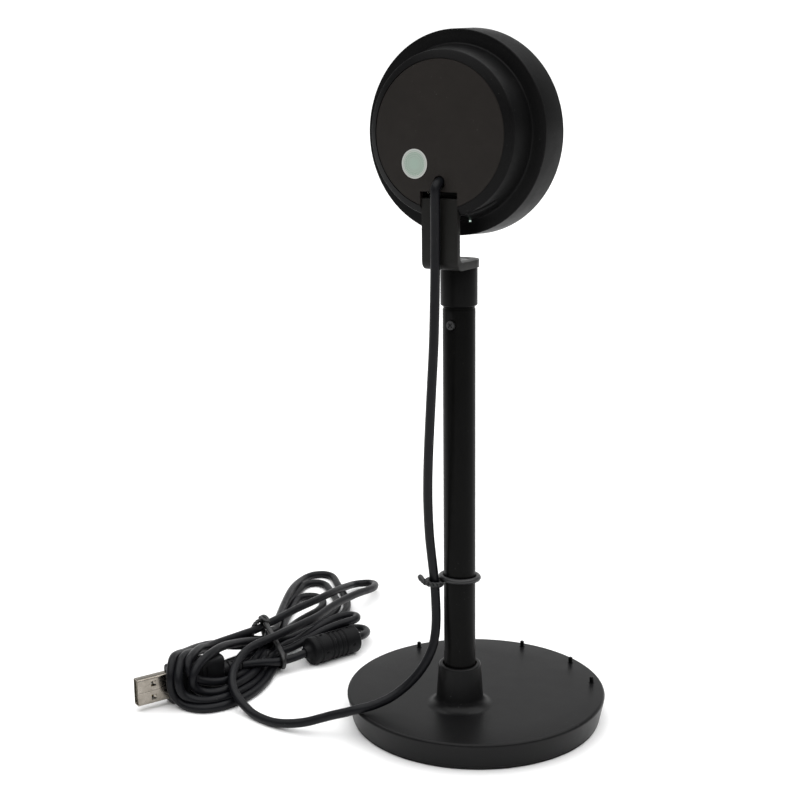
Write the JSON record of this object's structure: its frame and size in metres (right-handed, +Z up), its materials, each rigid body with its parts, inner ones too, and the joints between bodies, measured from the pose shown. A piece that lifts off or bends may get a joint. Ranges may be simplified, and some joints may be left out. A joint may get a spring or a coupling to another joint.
{
  "type": "desktop microphone",
  "caption": "Desktop microphone: round head that tilts on a swivelling bracket, slim pole, weighted round base and a tied cable with ferrite sleeve and plug.",
  "frame": {"origin": "centre of the base's round footprint, on the surface it stands on", "axes": "+Z up along the pole, -Y the way the grille faces, +Y the cable side"},
  "size_m": [0.217, 0.1826, 0.2858],
  "materials": {
    "base_plastic": "satin moulded black plastic",
    "ballast": "rough cast disc",
    "pad_rubber": "soft matte foam rubber",
    "peg_plastic": "dark moulded plastic",
    "zinc_steel": "zinc plated steel",
    "brass": "turned brass",
    "pole_paint": "satin black powder coat",
    "collar_paint": "satin black coat",
    "black_steel": "black oxide screw",
    "spring_steel": "spring steel",
    "tie_cord": "round black twist tie",
    "bracket_paint": "satin black coated sheet",
    "head_plastic": "satin black moulded plastic",
    "disc_plastic": "fine-textured black plastic",
    "clamp_plastic": "black nylon",
    "bezel_plastic": "black moulded ring",
    "grille_paint": "perforated black sheet",
    "foam_black": "open-cell foam",
    "inner_plastic": "moulded inner plate",
    "mount_rubber": "soft rubber boot",
    "capsule_metal": "capsule can",
    "lead_wire": "insulated wire",
    "board_green": "circuit board laminate",
    "board_black": "component packages",
    "connector_white": "nylon connector",
    "cable_jacket": "smooth black cable jacket",
    "clear_plastic": "clear light guide",
    "led_body": "light-emitting diode",
    "label_paper": "printed round label",
    "washer_nylon": "nylon washer",
    "ferrite_jacket": "overmoulded black jacket",
    "ferrite_grey": "sintered ferrite",
    "plug_jacket": "overmoulded black plug",
    "plug_metal": "nickel plated shell",
    "plug_white": "insulating tongue"
  },
  "bodies": {
    "stand": {"base_cover": "base_plastic", "base_weight": "ballast", "base_pad": "pad_rubber", "rim_pegs": "peg_plastic", "base_bolt": "zinc_steel", "bolt_washer": "zinc_steel", "pole_insert": "brass", "pole": "pole_paint", "swivel_collar": "collar_paint", "pole_screw": "black_steel", "swivel_screw": "black_steel", "wave_washer": "spring_steel", "pole_tie": "tie_cord", "cord_run": "cable_jacket", "cord_tail": "cable_jacket", "cord_hank": "cable_jacket", "hank_tie": "tie_cord", "ferrite_sleeve": "ferrite_jacket", "ferrite_core": "ferrite_grey", "plug_body": "plug_jacket", "plug_shell": "plug_metal", "plug_tongue": "plug_white"},
    "yoke": {"bracket": "bracket_paint", "cord_back": "cable_jacket"},
    "head": {"head_shell": "head_plastic", "rear_disc": "disc_plastic", "cord_clamp": "clamp_plastic", "front_bezel": "bezel_plastic", "grille": "grille_paint", "foam": "foam_black", "baffle": "inner_plastic", "capsule_mount": "mount_rubber", "capsule": "capsule_metal", "capsule_leads": "lead_wire", "circuit_board": "board_green", "board_parts": "board_black", "board_screws": "zinc_steel", "lead_connector": "connector_white", "inner_lead": "cable_jacket", "light_pipe": "clear_plastic", "status_led": "led_body", "check_label": "label_paper", "tilt_pin": "zinc_steel", "tilt_nut": "zinc_steel", "friction_washers": "washer_nylon", "cord_exit": "cable_jacket"}
  },
  "joints": [
    {"name": "swivel", "type": "hinge", "parent": "stand", "child": "yoke", "pos_m": [-0.002, 0.017, 0.195], "axis": [0, 0, 1], "range_deg": [-30, 30]},
    {"name": "tilt", "type": "hinge", "parent": "yoke", "child": "head", "pos_m": [-0.002, 0.0235, 0.226], "axis": [1, 0, 0], "range_deg": [-12, 15]}
  ]
}
